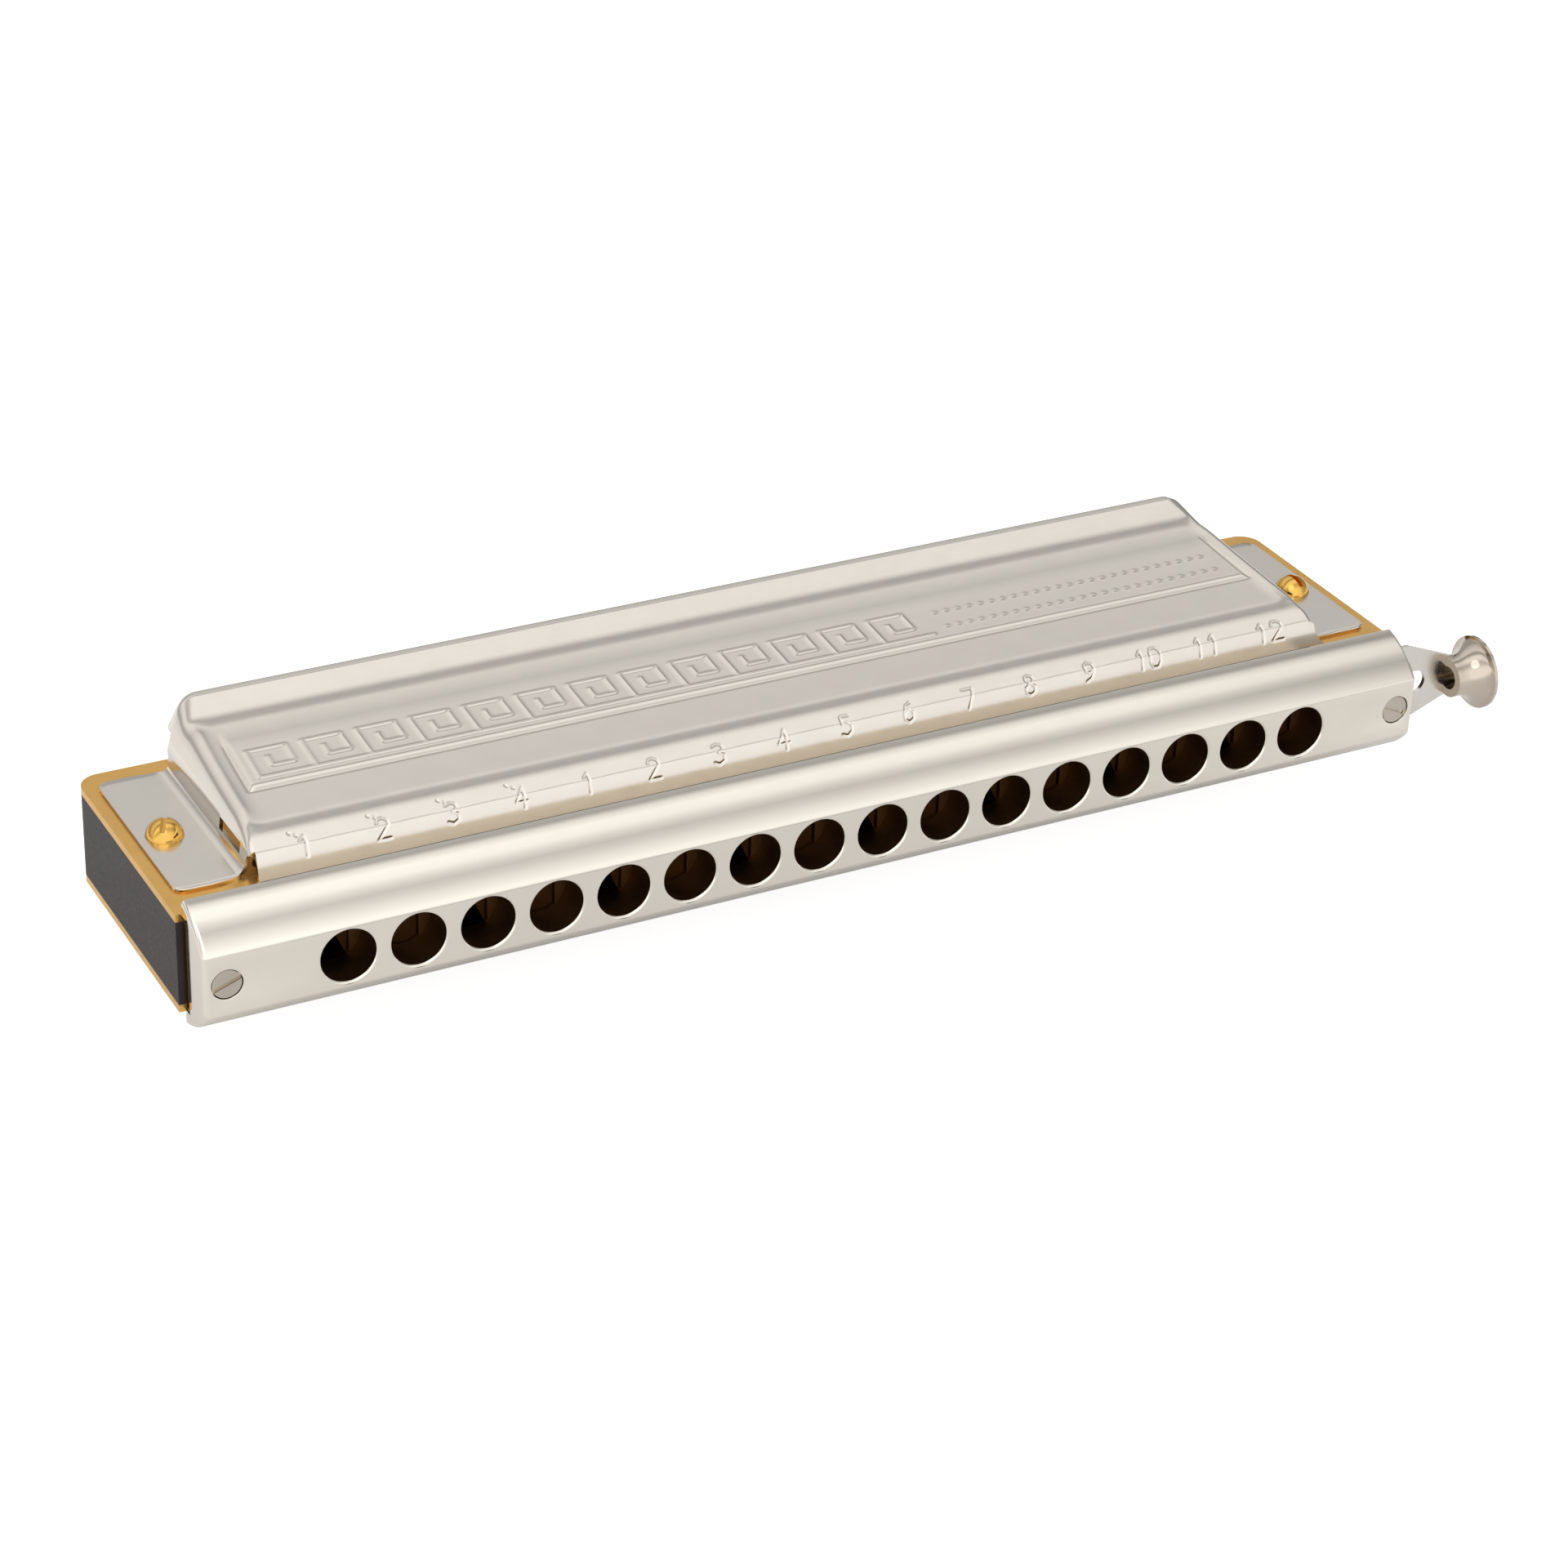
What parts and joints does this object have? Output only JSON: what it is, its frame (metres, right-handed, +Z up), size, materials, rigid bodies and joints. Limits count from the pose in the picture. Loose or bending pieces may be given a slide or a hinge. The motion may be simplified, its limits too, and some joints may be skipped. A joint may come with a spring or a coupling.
{
  "type": "chromatic harmonica",
  "caption": "Free-reed mouth instrument with a row of round mouth holes, formed metal covers and a sprung side button that shifts the slide.",
  "frame": {"origin": "centre of the bounding box in plan, at the bottom of the lower cover's rear ridge", "axes": "+X along the hole row from the low notes towards the button, +Y from the mouthpiece to the open backs of the covers, +Z up through the cover with the hole numbers"},
  "size_m": [0.1944, 0.045, 0.0328],
  "materials": {
    "comb": "fine-grained moulded plastic, dark grey-brown",
    "reed_plate": "bare brushed brass",
    "reed": "bare rolled brass",
    "rivet": "bare brass",
    "valve": "thin cream plastic film",
    "cover": "satin nickel over formed sheet",
    "mouthpiece": "polished nickel plate",
    "slide": "nickel plate with fine grinding marks",
    "inner_plate": "dull brass, browned by use",
    "bolt": "polished brass",
    "screw": "polished nickel plate",
    "sleeve": "black rubber",
    "spring": "bright spring wire"
  },
  "bodies": {
    "root": {"comb": "comb", "top_reed_plate": "reed_plate", "bottom_reed_plate": "reed_plate", "top_blow_reeds": "reed", "top_draw_reeds": "reed", "bottom_blow_reeds": "reed", "bottom_draw_reeds": "reed", "top_reed_rivets": "rivet", "bottom_reed_rivets": "rivet", "top_outer_valves": "valve", "top_inner_valves": "valve", "bottom_outer_valves": "valve", "bottom_inner_valves": "valve", "top_plate_screws": "rivet", "bottom_plate_screws": "rivet", "top_cover": "cover", "bottom_cover": "cover", "cover_bolts": "bolt", "cover_nuts": "bolt", "mouthpiece": "mouthpiece", "slide_channel": "inner_plate", "slide_back_plate": "inner_plate", "mouthpiece_screws": "screw", "screw_sleeves": "sleeve", "slide_spring": "spring", "spring_pin": "rivet"},
    "slide": {"slide_bar": "slide", "slide_button": "mouthpiece"}
  },
  "joints": [
    {"name": "slide_press", "type": "slide", "parent": "root", "child": "slide", "axis": [-1, 0, 0], "range_m": [0, 0.0047], "stiffness_N_per_m": 200, "springref_m": -0.003, "deforming": ["slide_spring"]}
  ]
}
